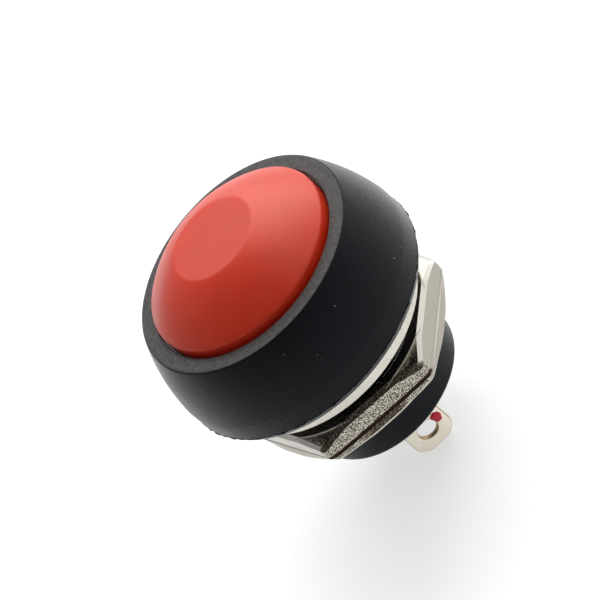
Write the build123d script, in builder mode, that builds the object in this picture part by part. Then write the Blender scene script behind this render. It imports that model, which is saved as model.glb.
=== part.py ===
"""Momentary push button switch for panel mounting, modelled piece by piece.

Units are millimetres. The switch axis is Z, the button faces +Z, and the origin lies on the axis
in the plane where a panel meets the underside of the flat washer.
"""
import os

from build123d import *

# Head and body moulding
RIM_R = 9.0  # widest radius of the head, at the mould parting line
RIM_Z = 2.1
HEAD_UNDERSIDE_Z = 1.7
HEAD_UNDERSIDE_R = 8.7
BEZEL_R = 7.64  # outer edge of the flat ring around the button
BEZEL_Z = 7.75
FLANK_R = 8.64  # radius half way up the curved side of the head
WELL_R = 6.58  # hole that the button moves in
WELL_FLOOR_Z = 3.45
STEM_R = 6.0  # crest radius of the M12 fine thread
THREAD_END_Z = -3.7
BARREL_R = 5.55  # smooth rear end of the body
BARREL_END_Z = -6.55
CHAMBER_R = 4.6
CHAMBER_TOP_Z = 1.2
SOCKET_R = 4.85  # counterbore that takes the contact base
SOCKET_TOP_Z = -4.0

# Button
CAP_R = 6.42
CREASE_Z = 8.3  # edge between the straight wall and the dome
DOME_R = 5.2
DOME_Z = 9.3
FACET_R = 2.95  # flat round top of the dome
FACET_Z = 10.45
SKIRT_R = 5.45
SKIRT_END_Z = 5.25
SPRING_SHELF_Z = 8.7
HUB_R = 2.6
HUB_END_Z = 6.2

# Travel
TRAVEL = 1.5
CONTACT_TRAVEL = 1.0  # how far the bridge moves before the contacts meet
AIR = 0.01  # gap left between faces that touch at a stop

# Plunger
SHAFT_R = 2.3
GUIDE_R = 2.35
SPIGOT_R = 1.58
SPIGOT_TOP_Z = 8.9
STOP_R = 3.4
STOP_THICK = 0.7
POST_R = 0.85
POST_END_Z = -2.6
CATCH_R = 1.25
CATCH_END_Z = -3.2
CATCH_TIP_R = 0.6

# Seal around the plunger and the ring that keeps it in
GLAND_R = 3.25
GLAND_FLOOR_Z = 2.5
CORD_R = 0.45
SEAT_RING_R = 5.4
SEAT_RING_THICK = 0.3

# Springs
RETURN_MEAN_R = 4.1
RETURN_WIRE_R = 0.225
RETURN_TURNS = 4.5
CONTACT_MEAN_R = 1.2
CONTACT_WIRE_R = 0.1
CONTACT_TURNS = 5

# Contacts and terminals
BRIDGE_THICK = 0.4
BRIDGE_LENGTH = 5.8
BRIDGE_WIDTH = 2.4
RIVET_OFFSET = 2.1
RIVET_R = 0.6
RIVET_HEIGHT = 0.45
RIVET_BEVEL = 0.12
SHANK_R = 0.35
TERMINAL_ANGLE = -98  # direction of the first terminal, in degrees from +X
TERMINAL_OUTER = 3.0
TERMINAL_THICK = 0.4
TERMINAL_WIDTH = 2.9
TERMINAL_TIP_Z = -10.8
TERMINAL_CORNER = 0.55
LEG_INNER = 1.35
LEG_TOP_Z = -4.5
EYE_Z = -9.3
EYE_R = 0.7

# Contact base and its sealing compound
BASE_R = 4.83
BASE_FLOOR_Z = -4.7
BASE_END_Z = -6.0
BASE_RIM_R = 4.2
RECESS_R = 1.2
RECESS_Z = -5.3
POTTING_END_Z = -6.4

# Panel hardware
LOOSE_BORE_R = 6.1
WASHER_R = 7.42
WASHER_THICK = 0.8
SEAL_R = 7.3
NUT_FLATS = 13.8
NUT_TOP_Z = -1.2
NUT_END_Z = -3.4
NUT_BORE_R = 6.05
NUT_CORNER_R = 7.9
NUT_FACE_R = 6.95  # circle where the chamfer of the corners starts on both faces
NUT_TOP_DROP = 0.55  # fall of the chamfer at the corners
NUT_END_DROP = 0.4
NUT_TURN = -13.3  # direction of one corner, in degrees from +X

# Red lacquer spot on the first terminal
SPOT_OFFSET = 0.98
SPOT_Z = -8.95
SPOT_WIDTH = 0.56
SPOT_LENGTH = 1.3
SPOT_THICK = 0.12


def save(piece, name):
    """Label a finished piece and write it to its own STEP file."""
    piece.part.label = name
    export_step(piece.part, f"parts/{name}.step")


def spin(*points):
    """Revolve a closed outline, given as (radius, height) pairs, about the switch axis."""
    with BuildSketch(Plane.XZ) as outline:
        with BuildLine():
            Polyline(*points, close=True)
        make_face()
    revolve(outline.sketch, axis=Axis.Z)


def side_plane(side):
    """Plane on the axis whose x runs outward through terminal 0 or 1, with z up."""
    return Plane.XY.rotated((0, 0, TERMINAL_ANGLE + 180 * side))


def face_plane(side, distance):
    """Upright plane facing outward at a distance from the axis: x across the terminal, y up."""
    base = side_plane(side)
    return Plane(origin=base.x_dir * distance, x_dir=base.y_dir, z_dir=base.x_dir)


def coil(mean_r, wire_r, turns, low, high):
    """Helical spring between two seats, its fine wire drawn with an eight-sided section."""
    start = low + wire_r + AIR
    rise = high - low - 2 * (wire_r + AIR)
    with BuildLine():
        path = Helix(pitch=rise / turns, height=rise, radius=mean_r, center=(0, 0, start))
    with BuildSketch(Plane(origin=path @ 0, z_dir=path % 0)) as wire:
        RegularPolygon(wire_r, side_count=8)
    sweep(wire.sketch, path=path, is_frenet=True)


os.makedirs("parts", exist_ok=True)

# ---- Housing: head, threaded stem and rear barrel in one moulding
with BuildPart() as housing:
    with BuildSketch(Plane.XZ):
        with BuildLine():
            Polyline((WELL_R + 0.12, BEZEL_Z), (BEZEL_R, BEZEL_Z))
            ThreePointArc((BEZEL_R, BEZEL_Z), (FLANK_R, (BEZEL_Z + RIM_Z) / 2), (RIM_R, RIM_Z))
            Polyline(
                (RIM_R, RIM_Z),
                (HEAD_UNDERSIDE_R, HEAD_UNDERSIDE_Z),
                (STEM_R, HEAD_UNDERSIDE_Z),
                (STEM_R, THREAD_END_Z),
                (BARREL_R, THREAD_END_Z - (STEM_R - BARREL_R)),
                (BARREL_R, BARREL_END_Z + 0.2),
                (BARREL_R - 0.2, BARREL_END_Z),
                (SOCKET_R, BARREL_END_Z),
                (SOCKET_R, SOCKET_TOP_Z),
                (CHAMBER_R, SOCKET_TOP_Z),
                (CHAMBER_R, CHAMBER_TOP_Z),
                (GUIDE_R, CHAMBER_TOP_Z),
                (GUIDE_R, GLAND_FLOOR_Z),
                (GLAND_R, GLAND_FLOOR_Z),
                (GLAND_R, WELL_FLOOR_Z),
                (WELL_R, WELL_FLOOR_Z),
                (WELL_R, BEZEL_Z - 0.12),
                (WELL_R + 0.12, BEZEL_Z),
            )
        make_face()
    revolve(axis=Axis.Z)
save(housing, "housing")

# ---- Button cap: domed shell with a flat top, a spring shelf and a hub for the plunger
with BuildPart() as button_cap:
    with BuildSketch(Plane.XZ):
        with BuildLine():
            Polyline((CAP_R, SKIRT_END_Z), (CAP_R, CREASE_Z))
            ThreePointArc((CAP_R, CREASE_Z), (DOME_R, DOME_Z), (FACET_R, FACET_Z))
            Polyline(
                (FACET_R, FACET_Z),
                (0, FACET_Z),
                (0, SPIGOT_TOP_Z + AIR),
                (SPIGOT_R + 0.02, SPIGOT_TOP_Z + AIR),
                (SPIGOT_R + 0.02, HUB_END_Z),
                (HUB_R, HUB_END_Z),
                (HUB_R, SPRING_SHELF_Z + 0.4),
                (HUB_R + 0.7, SPRING_SHELF_Z + 0.4),
                (HUB_R + 0.9, SPRING_SHELF_Z),
                (SKIRT_R - 0.6, SPRING_SHELF_Z),
                (SKIRT_R, SPRING_SHELF_Z - 0.6),
                (SKIRT_R, SKIRT_END_Z),
                (CAP_R, SKIRT_END_Z),
            )
        make_face()
    revolve(axis=Axis.Z)
save(button_cap, "button_cap")

# ---- Plunger: spigot in the cap, sealed shaft, stop collar and split catch for the bridge
with BuildPart() as plunger:
    spin(
        (0, SPIGOT_TOP_Z),
        (SPIGOT_R, SPIGOT_TOP_Z),
        (SPIGOT_R, HUB_END_Z),
        (SHAFT_R, HUB_END_Z),
        (SHAFT_R, CHAMBER_TOP_Z - AIR),
        (STOP_R, CHAMBER_TOP_Z - AIR),
        (STOP_R, CHAMBER_TOP_Z - STOP_THICK),
        (POST_R, CHAMBER_TOP_Z - STOP_THICK),
        (POST_R, POST_END_Z - AIR),
        (CATCH_R, POST_END_Z - AIR),
        (CATCH_R, POST_END_Z - 0.15),
        (CATCH_TIP_R, CATCH_END_Z),
        (0, CATCH_END_Z),
    )
    with BuildSketch(Plane.XY.offset(CATCH_END_Z)):
        Rectangle(2 * CATCH_R, 0.4)
    extrude(amount=1.6, mode=Mode.SUBTRACT)
save(plunger, "plunger")

# ---- Seal ring in its gland and the flat ring that holds it in and seats the spring
with BuildPart() as plunger_seal:
    with BuildSketch(Plane.XZ):
        with Locations((GUIDE_R + CORD_R, GLAND_FLOOR_Z + CORD_R + AIR)):
            RegularPolygon(CORD_R, side_count=12)
    revolve(axis=Axis.Z)
save(plunger_seal, "plunger_seal")

with BuildPart() as spring_seat:
    with BuildSketch(Plane.XY.offset(WELL_FLOOR_Z)):
        Circle(SEAT_RING_R)
        Circle(SHAFT_R + 0.15, mode=Mode.SUBTRACT)
    extrude(amount=SEAT_RING_THICK)
save(spring_seat, "spring_seat")

with BuildPart() as return_spring:
    coil(
        RETURN_MEAN_R,
        RETURN_WIRE_R,
        RETURN_TURNS,
        WELL_FLOOR_Z + SEAT_RING_THICK,
        SPRING_SHELF_Z,
    )
save(return_spring, "return_spring")

# ---- Contact bridge on the plunger's post, with its spring and two riveted contacts
bridge_top_z = POST_END_Z + BRIDGE_THICK
with BuildPart() as contact_bridge:
    with BuildSketch(side_plane(0).offset(POST_END_Z)):
        SlotOverall(BRIDGE_LENGTH, BRIDGE_WIDTH)
        Circle(POST_R + 0.08, mode=Mode.SUBTRACT)
        with Locations((RIVET_OFFSET, 0), (-RIVET_OFFSET, 0)):
            Circle(SHANK_R, mode=Mode.SUBTRACT)
    extrude(amount=BRIDGE_THICK)
save(contact_bridge, "contact_bridge")

with BuildPart() as contact_spring:
    coil(
        CONTACT_MEAN_R,
        CONTACT_WIRE_R,
        CONTACT_TURNS,
        bridge_top_z,
        CHAMBER_TOP_Z - STOP_THICK,
    )
save(contact_spring, "contact_spring")

moving_face_z = POST_END_Z - RIVET_HEIGHT
fixed_face_z = moving_face_z - CONTACT_TRAVEL - AIR
for side, name in enumerate(("moving_contact_front", "moving_contact_rear")):
    with BuildPart() as moving_contact:
        with BuildSketch(side_plane(side).offset(moving_face_z)):
            with Locations((RIVET_OFFSET, 0)):
                Circle(RIVET_R)
        extrude(amount=RIVET_HEIGHT)
        chamfer(moving_contact.edges().sort_by(Axis.Z)[0], RIVET_BEVEL)
        with BuildSketch(side_plane(side).offset(POST_END_Z)):
            with Locations((RIVET_OFFSET, 0)):
                Circle(SHANK_R)
        extrude(amount=BRIDGE_THICK)
    save(moving_contact, name)

# ---- Terminals: a contact leg inside and a solder tab with an eye outside
for side, name in enumerate(("terminal_front", "terminal_rear")):
    with BuildPart() as terminal:
        with BuildSketch(face_plane(side, TERMINAL_OUTER)) as tab:
            with Locations((0, (LEG_TOP_Z + TERMINAL_TIP_Z) / 2)):
                Rectangle(TERMINAL_WIDTH, LEG_TOP_Z - TERMINAL_TIP_Z)
            chamfer(tab.vertices().group_by(Axis.Z)[0], TERMINAL_CORNER)
            with Locations((0, EYE_Z)):
                Circle(EYE_R, mode=Mode.SUBTRACT)
        extrude(amount=-TERMINAL_THICK)
        with BuildSketch(side_plane(side).offset(LEG_TOP_Z)):
            with Locations(((LEG_INNER + TERMINAL_OUTER) / 2, 0)):
                Rectangle(TERMINAL_OUTER - LEG_INNER, TERMINAL_WIDTH)
            with Locations((RIVET_OFFSET, 0)):
                Circle(SHANK_R, mode=Mode.SUBTRACT)
        extrude(amount=-TERMINAL_THICK)
        outer_bend = terminal.edges().filter_by(GeomType.LINE).group_by(Axis.Z)[-1]
        fillet(outer_bend.sort_by_distance(face_plane(side, TERMINAL_OUTER).origin)[0], 0.2)
    save(terminal, name)

for side, name in enumerate(("fixed_contact_front", "fixed_contact_rear")):
    with BuildPart() as fixed_contact:
        with BuildSketch(side_plane(side).offset(LEG_TOP_Z)):
            with Locations((RIVET_OFFSET, 0)):
                Circle(RIVET_R)
        extrude(amount=fixed_face_z - LEG_TOP_Z)
        chamfer(fixed_contact.edges().sort_by(Axis.Z)[-1], RIVET_BEVEL)
        with BuildSketch(side_plane(side).offset(LEG_TOP_Z)):
            with Locations((RIVET_OFFSET, 0)):
                Circle(SHANK_R)
        extrude(amount=-TERMINAL_THICK)
    save(fixed_contact, name)

# ---- Contact base: moulded plug with pockets for the legs, slots for the tabs and a rim
with BuildPart() as contact_base:
    spin(
        (RECESS_R, RECESS_Z),
        (RECESS_R, BASE_FLOOR_Z),
        (BASE_RIM_R, BASE_FLOOR_Z),
        (BASE_RIM_R, SOCKET_TOP_Z),
        (BASE_R, SOCKET_TOP_Z),
        (BASE_R, BASE_END_Z),
        (0, BASE_END_Z),
        (0, RECESS_Z),
    )
    for side in range(2):
        with BuildSketch(side_plane(side).offset(BASE_FLOOR_Z)):
            with Locations(((LEG_INNER + TERMINAL_OUTER) / 2, 0)):
                Rectangle(TERMINAL_OUTER - LEG_INNER + 0.1, TERMINAL_WIDTH + 0.1)
        extrude(amount=LEG_TOP_Z - TERMINAL_THICK - BASE_FLOOR_Z, mode=Mode.SUBTRACT)
        with BuildSketch(side_plane(side).offset(BASE_END_Z)):
            with Locations((TERMINAL_OUTER - TERMINAL_THICK / 2, 0)):
                Rectangle(TERMINAL_THICK + 0.06, TERMINAL_WIDTH + 0.06)
        extrude(amount=BASE_FLOOR_Z - BASE_END_Z, mode=Mode.SUBTRACT)
save(contact_base, "contact_base")

# ---- Sealing compound that closes the rear end around the terminals
with BuildPart() as potting:
    with BuildSketch(Plane.XY.offset(POTTING_END_Z)):
        Circle(SOCKET_R)
    extrude(amount=BASE_END_Z - POTTING_END_Z)
    for side in range(2):
        with BuildSketch(side_plane(side).offset(POTTING_END_Z)):
            with Locations((TERMINAL_OUTER - TERMINAL_THICK / 2, 0)):
                Rectangle(TERMINAL_THICK, TERMINAL_WIDTH)
        extrude(amount=BASE_END_Z - POTTING_END_Z, mode=Mode.SUBTRACT)
save(potting, "potting")

# ---- Panel hardware: rubber seal, flat washer and hexagon nut
with BuildPart() as panel_seal:
    with BuildSketch(Plane.XY.offset(WASHER_THICK)):
        Circle(SEAL_R)
        Circle(LOOSE_BORE_R, mode=Mode.SUBTRACT)
    extrude(amount=HEAD_UNDERSIDE_Z - WASHER_THICK)
save(panel_seal, "panel_seal")

with BuildPart() as flat_washer:
    with BuildSketch():
        Circle(WASHER_R)
        Circle(LOOSE_BORE_R, mode=Mode.SUBTRACT)
    extrude(amount=WASHER_THICK)
    chamfer(flat_washer.edges().filter_by(GeomType.CIRCLE).sort_by(SortBy.RADIUS)[-2:], 0.1)
save(flat_washer, "flat_washer")

with BuildPart() as hex_nut:
    with BuildSketch(Plane.XY.offset(NUT_END_Z)):
        RegularPolygon(NUT_FLATS / 2, side_count=6, major_radius=False, rotation=NUT_TURN)
    extrude(amount=NUT_TOP_Z - NUT_END_Z)
    with BuildSketch(Plane.XZ):
        with BuildLine():
            Polyline(
                (0, NUT_END_Z),
                (NUT_FACE_R, NUT_END_Z),
                (NUT_CORNER_R, NUT_END_Z + NUT_END_DROP),
                (NUT_CORNER_R, NUT_TOP_Z - NUT_TOP_DROP),
                (NUT_FACE_R, NUT_TOP_Z),
                (0, NUT_TOP_Z),
                close=True,
            )
        make_face()
    revolve(axis=Axis.Z, mode=Mode.INTERSECT)
    Hole(NUT_BORE_R)
    bore_edges = hex_nut.edges().filter_by(GeomType.CIRCLE).sort_by(SortBy.RADIUS)[:2]
    chamfer(bore_edges, 0.15)
save(hex_nut, "hex_nut")

# ---- Lacquer spot on the outside of the front terminal, beside its eye
with BuildPart() as lacquer_spot:
    with BuildSketch(face_plane(0, TERMINAL_OUTER)):
        with Locations((SPOT_OFFSET, SPOT_Z)):
            SlotOverall(SPOT_LENGTH, SPOT_WIDTH, rotation=90)
    extrude(amount=SPOT_THICK)
    outward = Axis((0, 0, 0), side_plane(0).x_dir)
    chamfer(lacquer_spot.faces().sort_by(outward)[-1].edges(), 0.05)
save(lacquer_spot, "lacquer_spot")
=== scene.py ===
import math

import bmesh
import bpy
from bpy.props import FloatProperty, FloatVectorProperty, IntProperty, PointerProperty
from mathutils import Matrix, Vector, noise


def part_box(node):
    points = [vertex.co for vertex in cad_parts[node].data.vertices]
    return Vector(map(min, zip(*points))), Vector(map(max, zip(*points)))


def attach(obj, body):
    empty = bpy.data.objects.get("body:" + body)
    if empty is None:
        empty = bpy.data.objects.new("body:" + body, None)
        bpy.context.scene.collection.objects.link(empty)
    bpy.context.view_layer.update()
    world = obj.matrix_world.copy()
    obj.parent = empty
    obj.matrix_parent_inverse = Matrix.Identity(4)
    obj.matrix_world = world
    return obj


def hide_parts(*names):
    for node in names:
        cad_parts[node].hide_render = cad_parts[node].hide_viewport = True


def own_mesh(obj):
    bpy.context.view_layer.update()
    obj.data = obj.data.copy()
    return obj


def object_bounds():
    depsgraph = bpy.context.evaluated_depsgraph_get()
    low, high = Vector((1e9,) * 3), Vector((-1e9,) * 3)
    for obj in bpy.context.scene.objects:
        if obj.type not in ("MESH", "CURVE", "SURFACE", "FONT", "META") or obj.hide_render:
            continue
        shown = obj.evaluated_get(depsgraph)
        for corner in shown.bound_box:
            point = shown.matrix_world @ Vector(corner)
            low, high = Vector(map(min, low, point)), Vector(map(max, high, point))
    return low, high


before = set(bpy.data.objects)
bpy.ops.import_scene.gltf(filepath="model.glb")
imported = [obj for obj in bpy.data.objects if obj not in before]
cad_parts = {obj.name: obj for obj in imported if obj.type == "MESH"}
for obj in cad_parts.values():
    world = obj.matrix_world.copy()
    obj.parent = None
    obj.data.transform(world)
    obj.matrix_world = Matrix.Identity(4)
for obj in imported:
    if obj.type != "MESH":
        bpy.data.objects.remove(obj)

bl_info = {
    "name": "Push button switch",
    "version": (1, 0, 0),
    "blender": (4, 5, 0),
    "location": "3D View > Sidebar > Switch",
    "description": "Dresses a panel mount push button switch around its packed solids",
    "category": "Object",
}

MM = 0.001
CAD_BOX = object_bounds()
FLOOR_Z = CAD_BOX[0][2]

# Heights and radii that come from the solids
HOUSING_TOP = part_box("housing")[1][2]
HOUSING_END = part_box("housing")[0][2]
RIM_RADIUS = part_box("housing")[1][0]
CAP_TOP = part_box("button_cap")[1][2]
CAP_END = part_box("button_cap")[0][2]
CAP_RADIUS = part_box("button_cap")[1][0]
SEAL_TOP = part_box("panel_seal")[1][2]
SEAL_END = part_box("panel_seal")[0][2]
NUT_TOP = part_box("hex_nut")[1][2]
NUT_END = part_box("hex_nut")[0][2]
TAB_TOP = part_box("terminal_front")[1][2]
TAB_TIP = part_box("terminal_front")[0][2]
POTTING_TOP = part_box("potting")[1][2]
POTTING_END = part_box("potting")[0][2]

# Details shared by pieces that touch each other
WELL_R = 6.58 * MM
WELL_FLOOR = 3.45 * MM
UNDERSIDE_Z = 1.7 * MM
THREAD_END = -3.7 * MM
THREAD_START = THREAD_END + 0.1 * MM  # where the stem's ridge begins
SOCKET_R = 4.85 * MM
LOOSE_BORE_R = 6.1 * MM
NUT_BORE_R = 6.05 * MM
TAB_TURN = math.radians(-98)  # direction of the front terminal from +X
SUPPORT = 1.5  # a rounding's outer loops, as a multiple of its reach


# ---------------------------------------------------------------- sizes and colours


def length(label, millimetres, text):
    """A length property whose default is given in millimetres."""
    return FloatProperty(
        name=label, description=text, default=millimetres * MM, unit="LENGTH", precision=5
    )


def amount(label, value, text):
    """A plain number property."""
    return FloatProperty(name=label, description=text, default=value)


def angle(label, degrees, text):
    """An angle property whose default is given in degrees."""
    return FloatProperty(
        name=label, description=text, default=math.radians(degrees), subtype="ANGLE"
    )


def colour(label, value, text):
    """A colour property in scene linear values."""
    return FloatVectorProperty(
        name=label, description=text, default=value, subtype="COLOR", min=0, max=1, size=3
    )


class HeadSizes(bpy.types.PropertyGroup):
    rim_radius: length("Rim radius", RIM_RADIUS / MM - 0.09, "Head radius at the parting line")
    flank_radius: length("Flank radius", 8.64, "Radius half way up the curved side")
    bezel_radius: length("Bezel radius", 7.64, "Outer edge of the flat ring round the button")
    flash: length("Flash", 0.085, "How far the ragged parting line stands out")
    stem_root: length("Stem root radius", 5.48, "Radius between the threads")
    barrel_radius: length("Barrel radius", 5.55, "Radius of the smooth rear end")
    steps: IntProperty(name="Steps", description="Steps round the head", default=432)


class ThreadSizes(bpy.types.PropertyGroup):
    crest_radius: length("Crest radius", 5.98, "Outer radius of the stem's thread")
    pitch: length("Pitch", 1.0, "Rise of the thread in one turn")
    depth: length("Depth", 0.54, "Height of the ridge")
    crest_width: length("Crest width", 0.1, "Width of the ridge at its crest")
    root_width: length("Root width", 0.8, "Width of the ridge at its foot")


class ButtonSizes(bpy.types.PropertyGroup):
    crease_height: length("Crease height", 8.3, "Edge between the wall and the dome")
    dome_radius: length("Dome radius", 5.2, "Radius of the dome at its middle height")
    dome_height: length("Dome height", 9.3, "Middle height of the dome")
    facet_radius: length("Facet radius", 2.95, "Radius of the flat top")
    crease_round: length("Crease rounding", 0.16, "Rounding of the crease")
    facet_round: length("Facet rounding", 0.6, "Rounding round the flat top")


class HardwareSizes(bpy.types.PropertyGroup):
    washer_radius: length("Washer radius", 7.42, "Outer radius of the flat washer")
    washer_edge: length("Washer edge", 0.1, "Rounding of the washer's edges")
    nut_flats: length("Nut flats", 13.8, "Size across the flats")
    nut_corner: length("Nut corner rounding", 0.5, "Rounding of the upright corners")
    nut_face: length("Nut face radius", 6.95, "Circle where the corner chamfers start")
    nut_slope: amount("Nut chamfer slope", 0.58, "Fall of the corner chamfer along the radius")
    nut_edge: length("Nut edge rounding", 0.05, "Rounding of the smaller edges")
    shoulder_height: length("Shoulder height", 0.28, "Height of the leaning strip at the top")
    shoulder_width: length("Shoulder width", 0.28, "Width of the leaning strip at the top")
    foot_height: length("Foot height", 0.69, "Height of the pressed foot of the nut")
    foot_flare: length("Foot flare", 0.13, "How far the foot stands out")
    nut_step: length("Nut step", 0.05, "Drop from the flat top to the corner chamfers")
    groove_depth: length("Groove depth", 0.08, "Depth of the line above the foot")
    groove_width: length("Groove width", 0.15, "Half the height of the line above the foot")
    nut_turn: angle("Nut turn", -13.3, "Direction of one corner")


class TerminalSizes(bpy.types.PropertyGroup):
    reach: length("Reach", 3.0, "Outer plane of the tab, from the axis")
    thickness: length("Thickness", 0.4, "Sheet thickness")
    width: length("Width", 2.9, "Width of the strip")
    bend: length("Bend", 0.45, "Outer radius of the bend")
    leg_end: length("Leg end", 1.35, "End of the inner leg, from the axis")
    corner: length("Corner", 0.6, "Cut corner at the tip")
    corner_round: length("Corner rounding", 0.7, "Rounding of the cut corners")
    eye_radius: length("Eye radius", 0.7, "Radius of the solder eye")
    eye_height: length("Eye height", -9.3, "Height of the eye's centre")
    spot_height: length("Lacquer height", -9.02, "Middle of the lacquer spot")
    spot_offset: length("Lacquer offset", 0.92, "Sideways place of the lacquer spot")


class SpringSizes(bpy.types.PropertyGroup):
    return_radius: length("Return spring radius", 4.1, "Mean radius")
    return_wire: length("Return wire radius", 0.225, "Wire radius")
    return_turns: amount("Return turns", 4.5, "Number of turns")
    contact_radius: length("Contact spring radius", 1.2, "Mean radius")
    contact_wire: length("Contact wire radius", 0.1, "Wire radius")
    contact_turns: amount("Contact turns", 5.0, "Number of turns")


class FinishColours(bpy.types.PropertyGroup):
    moulding: colour("Moulding", (0.0048, 0.0050, 0.0066), "Black head and stem")
    # Lighter colour painted on flat tops of the black moulding: a painted sheen
    painted_sheen: colour("Painted sheen on moulding", (0.105, 0.103, 0.099), "Flat ring round the button")
    base: colour("Base moulding", (0.020, 0.018, 0.016), "Contact base")
    cap: colour("Button", (0.72, 0.029, 0.0045), "Red button")
    rubber: colour("Rubber", (0.014, 0.014, 0.015), "Seals")
    resin: colour("Sealing resin", (0.011, 0.011, 0.012), "Compound at the rear")
    nickel: colour("Nickel", (0.38, 0.355, 0.305), "Plating of the nut")
    # Lighter nickel painted on one side of the nut as if lit, and on the painted highlight line
    # round its flat top
    painted_lit: colour("Nickel painted lighter", (0.60, 0.56, 0.475), "Side of the nut painted lighter")
    # Tarnish brown, used on the nut as painted dark reflection and painted shade
    tarnish_and_shade: colour("Tarnish", (0.085, 0.048, 0.028), "Tarnish brown painted as shade on the nut")
    # Pit colour, also painted as shade in the nut's groove line
    pits_and_groove_shade: colour("Pits", (0.045, 0.034, 0.025), "Pits in the etched side")
    washer: colour("Washer nickel", (0.62, 0.59, 0.53), "Plating of the flat washer")
    tin: colour("Tin", (0.92, 0.87, 0.74), "Plated terminals")
    punched: colour("Punched brass", (0.56, 0.44, 0.27), "Bare edges of the terminals")
    brass: colour("Brass", (0.74, 0.52, 0.24), "Contact bridge")
    silver: colour("Silver", (0.86, 0.85, 0.81), "Contact faces")
    steel: colour("Spring steel", (0.50, 0.50, 0.49), "Spring wire")
    nylon: colour("Nylon", (0.60, 0.58, 0.52), "Plunger")
    lacquer: colour("Lacquer", (1.0, 0.022, 0.055), "Spot on the front terminal")


class StageSizes(bpy.types.PropertyGroup):
    elevation: angle("Elevation", 37.05, "Camera height above the horizon")
    roll: angle("Roll", 49.73, "Camera turn about its line of sight")
    distance: length("Distance", 180, "Camera to aim point")
    lens: amount("Lens", 178.5, "Focal length in millimetres")
    floor_size: length("Floor size", 4000, "Side of the square floor")
    floor_colour: colour("Floor", (0.78, 0.78, 0.775), "Pale floor")
    key: amount("Key", 1.9, "Brightness of the nearer lamp")
    wide: amount("Wide", 0.68, "Brightness of the wide lamp round it")
    room_front: amount("Room front", 0.2, "Brightness of the room at the front")
    room_back: amount("Room back", 0.6, "Brightness of the room at the back")


# ---------------------------------------------------------------- mesh helpers


def rounded(corners, steps=4):
    """Closed outline from (radius, height, rounding) corners, with support points beside each."""
    outline = []
    for index, (radius, height, size) in enumerate(corners):
        here = Vector((radius, height))
        if not size:
            outline.append(here)
            continue
        back = Vector(corners[index - 1][:2]) - here
        ahead = Vector(corners[(index + 1) % len(corners)][:2]) - here
        bend = math.pi - back.angle(ahead)
        reach = min(size * math.tan(bend / 2), 0.4 * back.length, 0.4 * ahead.length)
        start, end = here + back.normalized() * reach, here + ahead.normalized() * reach
        outline.append(here + back.normalized() * min(SUPPORT * reach, 0.48 * back.length))
        for step in range(steps + 1):
            share = step / steps
            outline.append(start.lerp(here, share).lerp(here.lerp(end, share), share))
        outline.append(here + ahead.normalized() * min(SUPPORT * reach, 0.48 * ahead.length))
    return outline


def arc(first, middle, last, steps, clear):
    """Corner points on the arc through three points, left out within a distance of its ends."""
    (ax, ay), (bx, by), (cx, cy) = first, middle, last
    twice = 2 * (ax * (by - cy) + bx * (cy - ay) + cx * (ay - by))
    a, b, c = ax * ax + ay * ay, bx * bx + by * by, cx * cx + cy * cy
    centre = Vector(
        (
            (a * (by - cy) + b * (cy - ay) + c * (ay - by)) / twice,
            (a * (cx - bx) + b * (ax - cx) + c * (bx - ax)) / twice,
        )
    )
    start, end = Vector(first) - centre, Vector(last) - centre
    sweep = math.atan2(start.x * end.y - start.y * end.x, start.dot(end))
    points = []
    for step in range(1, steps):
        turn = sweep * step / steps
        point = centre + Matrix.Rotation(turn, 2) @ start
        if min((point - Vector(first)).length, (point - Vector(last)).length) > clear:
            points.append((point.x, point.y, 0))
    return points


def net(rows, size, rows_close=False, row_closes=True, first=0):
    """Four-sided faces between rows of points, numbered row by row from a first point."""
    faces = []
    for row in range(rows if rows_close else rows - 1):
        after = (row + 1) % rows
        for point in range(size if row_closes else size - 1):
            then = (point + 1) % size
            corners = ((row, point), (after, point), (after, then), (row, then))
            faces.append(tuple(first + line * size + spot for line, spot in corners))
    return faces


def turned(outline_at, angles):
    """Vertices and faces of a closed outline carried round the axis, where it may change."""
    rows = [outline_at(turn) for turn in angles]
    vertices = [
        (radius * math.cos(turn), radius * math.sin(turn), height)
        for turn, row in zip(angles, rows)
        for radius, height in row
    ]
    return vertices, net(len(rows), len(rows[0]), rows_close=True)


def even_angles(steps):
    """Directions at even steps round the axis."""
    return [math.tau * step / steps for step in range(steps)]


def add_object(name, data):
    """A new object in the scene."""
    made = bpy.data.objects.new(name, data)
    bpy.context.scene.collection.objects.link(made)
    return made


def smooth(mesh, sharp=40):
    """Smooth shading, up to an angle in degrees between faces."""
    mesh.shade_smooth()
    mesh.set_sharp_from_angle(angle=math.radians(sharp))


def piece(name, shape, look, body, slot, *nodes, sharp=40):
    """A closed mesh with its faces outward and its finish, fixed to its body."""
    vertices, faces = shape
    mesh = bpy.data.meshes.new(name)
    mesh.from_pydata([tuple(point) for point in vertices], [], faces)
    clean_up(mesh)
    smooth(mesh, sharp)
    mesh.materials.append(finish(look))
    place(add_object(name, mesh), body, slot, *nodes)


def revolved(name, corners, detail, steps, look, *home):
    """A piece whose outline, rounded in some steps a corner, is the same all round the axis."""
    outline = rounded(corners, detail)
    piece(name, turned(lambda turn: outline, even_angles(steps)), look, *home)


def clean_up(mesh):
    """Merge doubles, drop loose edges and turn the faces outward."""
    work = bmesh.new()
    work.from_mesh(mesh)
    bmesh.ops.remove_doubles(work, verts=work.verts, dist=1e-7)
    loose = [edge for edge in work.edges if not edge.link_faces]
    bmesh.ops.delete(work, geom=loose, context="EDGES")
    bmesh.ops.recalc_face_normals(work, faces=work.faces)
    work.to_mesh(mesh)
    work.free()


def apply_modifiers(made):
    """Turn an object's modifiers into its mesh."""
    evaluated = made.evaluated_get(bpy.context.evaluated_depsgraph_get())
    mesh = bpy.data.meshes.new_from_object(evaluated)
    made.modifiers.clear()
    made.data = mesh
    mesh.name = made.name


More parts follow.
